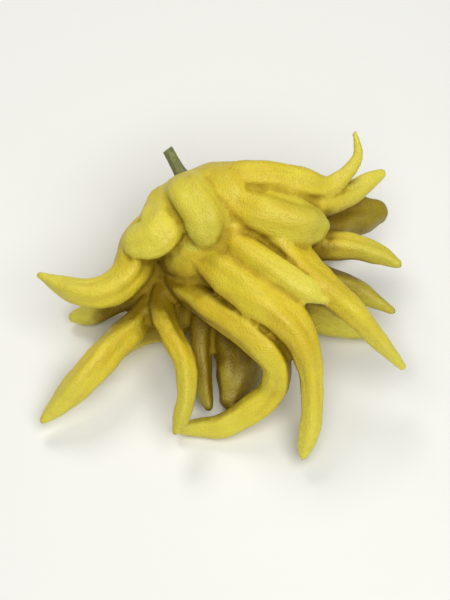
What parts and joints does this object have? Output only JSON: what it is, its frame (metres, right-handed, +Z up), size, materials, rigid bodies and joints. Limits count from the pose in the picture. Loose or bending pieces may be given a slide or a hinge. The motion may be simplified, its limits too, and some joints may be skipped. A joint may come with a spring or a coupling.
{
  "type": "buddhas hand citron",
  "caption": "Picked fingered citron lying on its side: a ribbed palm that parts into long curling fingers, with its calyx and a cut stub of stalk.",
  "frame": {"origin": "centre of the bounding box at its bottom, on the surface the fruit lies on", "axes": "+Z up from the surface; -Y the way the fingers point; +X to the right when seen from the fingers; the stalk leaves at the back, towards +Y and -X"},
  "size_m": [0.144, 0.1186, 0.0671],
  "materials": {
    "peel": "waxy lemon-yellow citrus rind with fine oil glands",
    "calyx_skin": "dry green, dull",
    "stalk_bark": "green-brown bark, pale where it is cut"
  },
  "bodies": {
    "root": {"fruit": "peel", "calyx": "calyx_skin", "stalk": "stalk_bark"}
  },
  "joints": []
}
